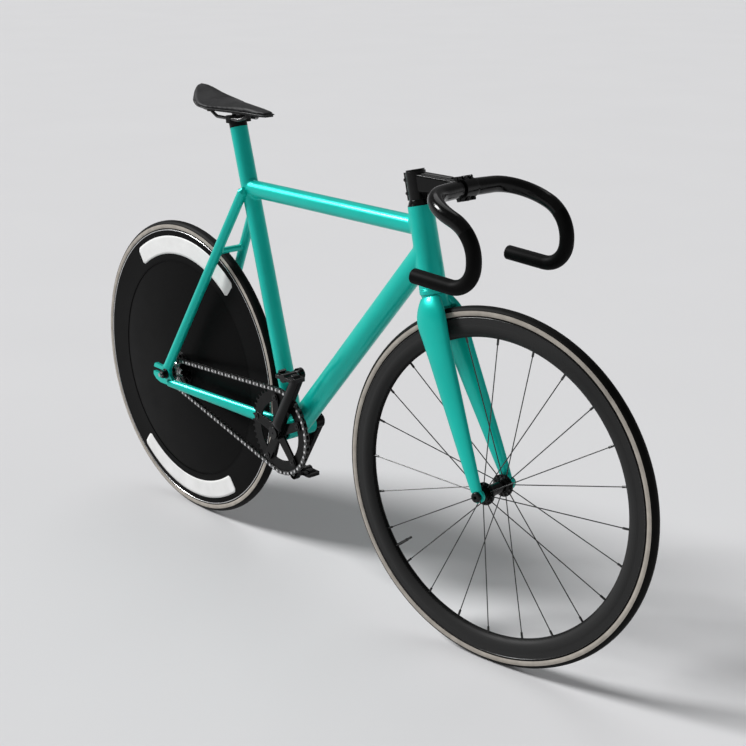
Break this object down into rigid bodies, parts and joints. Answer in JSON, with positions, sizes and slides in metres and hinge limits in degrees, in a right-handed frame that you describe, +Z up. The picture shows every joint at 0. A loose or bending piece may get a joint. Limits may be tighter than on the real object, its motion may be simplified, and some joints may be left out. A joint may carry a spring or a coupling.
{
  "type": "fixed gear track bicycle",
  "caption": "Fixed gear track bicycle with a bladed fork, a deep-rimmed spoked front wheel, a solid disc rear wheel, a drop bar and a chain drive without brakes.",
  "frame": {"origin": "on the ground, midway between the wheel axles, in the plane of the frame", "axes": "+X forward, +Y to the rider's left, so the chain is on -Y, +Z up"},
  "size_m": [1.6202, 0.3165, 0.9795],
  "materials": {
    "frame_paint": "turquoise gloss paint on aluminium tube",
    "fork_paint": "turquoise gloss paint on fibre composite",
    "black_alloy": "black anodised, half gloss",
    "steel": "bright steel",
    "black_steel": "blackened steel",
    "rim_composite": "black fibre composite with a clear coat",
    "tyre_rubber": "black tread, taupe side walls",
    "grip_rubber": "matte black",
    "saddle_cover": "dark grey synthetic leather over foam",
    "saddle_base": "black moulded plastic",
    "pedal_plastic": "dark grey moulded plastic"
  },
  "bodies": {
    "frame": {"head_tube": "frame_paint", "top_tube": "frame_paint", "down_tube": "frame_paint", "seat_tube": "frame_paint", "bottom_bracket_shell": "frame_paint", "chain_stay_right": "frame_paint", "chain_stay_left": "frame_paint", "seat_stay_right": "frame_paint", "seat_stay_left": "frame_paint", "seat_stay_bridge": "frame_paint", "track_end_right": "frame_paint", "track_end_left": "frame_paint", "headset_bearings": "black_steel", "bottom_bracket_bearings": "black_steel", "seat_mast_cap": "black_alloy", "saddle_clamp": "black_alloy", "saddle_clamp_bolts": "black_steel", "saddle_rails": "steel", "saddle_shell": "saddle_base", "saddle_cushion": "saddle_cover", "rear_axle": "steel", "rear_axle_nuts": "black_steel", "chain": "steel"},
    "steering": {"fork_crown": "fork_paint", "fork_blade_right": "fork_paint", "fork_blade_left": "fork_paint", "headset_cover": "black_alloy", "stem_body": "black_alloy", "stem_faceplate": "black_alloy", "stem_bolts": "black_steel", "stem_top_cap": "black_alloy", "handlebar": "black_alloy", "grip_right": "grip_rubber", "grip_left": "grip_rubber", "front_axle": "steel", "front_axle_bolts": "black_steel"},
    "front_wheel": {"front_tyre": "tyre_rubber", "front_rim": "rim_composite", "front_spokes": "black_steel", "front_nipples": "black_steel", "front_hub": "black_alloy", "front_hub_bearings": "black_steel", "front_valve": "black_steel"},
    "rear_wheel": {"rear_tyre": "tyre_rubber", "rear_disc_skins": "rim_composite", "rear_rim": "rim_composite", "rear_hub": "black_alloy", "rear_hub_bearings": "black_steel", "track_cog": "steel", "lockring": "steel"},
    "crankset": {"crank_spindle": "steel", "crank_arm_right": "black_alloy", "crank_arm_left": "black_alloy", "chainring": "black_alloy", "crankset_bolts": "black_steel", "pedal_spindles": "steel"},
    "pedal_right": {"pedal_body_right": "pedal_plastic"},
    "pedal_left": {"pedal_body_left": "pedal_plastic"},
    "clip_right": {"pedal_clip_right": "black_steel"},
    "clip_left": {"pedal_clip_left": "black_steel"}
  },
  "joints": [
    {"name": "steering", "type": "hinge", "parent": "frame", "child": "steering", "pos_m": [0.41086, 0, 0.31913], "axis": [-0.2317, 0, 0.9728], "range_deg": [-99.1, 80.9]},
    {"name": "front_wheel_spin", "type": "hinge", "parent": "steering", "child": "front_wheel", "pos_m": [0.47666, 0.01083, 0.3348], "axis": [-0.1539, 0.9874, -0.0367], "continuous": true},
    {"name": "rear_wheel_spin", "type": "hinge", "parent": "frame", "child": "rear_wheel", "pos_m": [-0.4775, 0, 0.335], "axis": [0, 1, 0], "continuous": true, "deforming": ["chain"]},
    {"name": "crank_spin", "type": "hinge", "parent": "frame", "child": "crankset", "pos_m": [-0.0864, 0, 0.302], "axis": [0, 1, 0], "continuous": true},
    {"name": "pedal_right_spin", "type": "hinge", "parent": "crankset", "child": "pedal_right", "pos_m": [-0.0014, -0.0827, 0.44922], "axis": [0, 1, 0], "continuous": true},
    {"name": "pedal_left_spin", "type": "hinge", "parent": "crankset", "child": "pedal_left", "pos_m": [-0.1714, 0.0827, 0.15478], "axis": [0, 1, 0], "continuous": true},
    {"name": "clip_right_open", "type": "hinge", "parent": "pedal_right", "child": "clip_right", "pos_m": [-0.0204, -0.0827, 0.44922], "axis": [0, -1, 0], "range_deg": [0, 15], "stiffness_Nm_per_rad": 2},
    {"name": "clip_left_open", "type": "hinge", "parent": "pedal_left", "child": "clip_left", "pos_m": [-0.1904, 0.0827, 0.15478], "axis": [0, -1, 0], "range_deg": [0, 15], "stiffness_Nm_per_rad": 2}
  ],
  "couplings": [
    {"joint": "crank_spin", "follows": "rear_wheel_spin", "ratio": 0.34091}
  ]
}
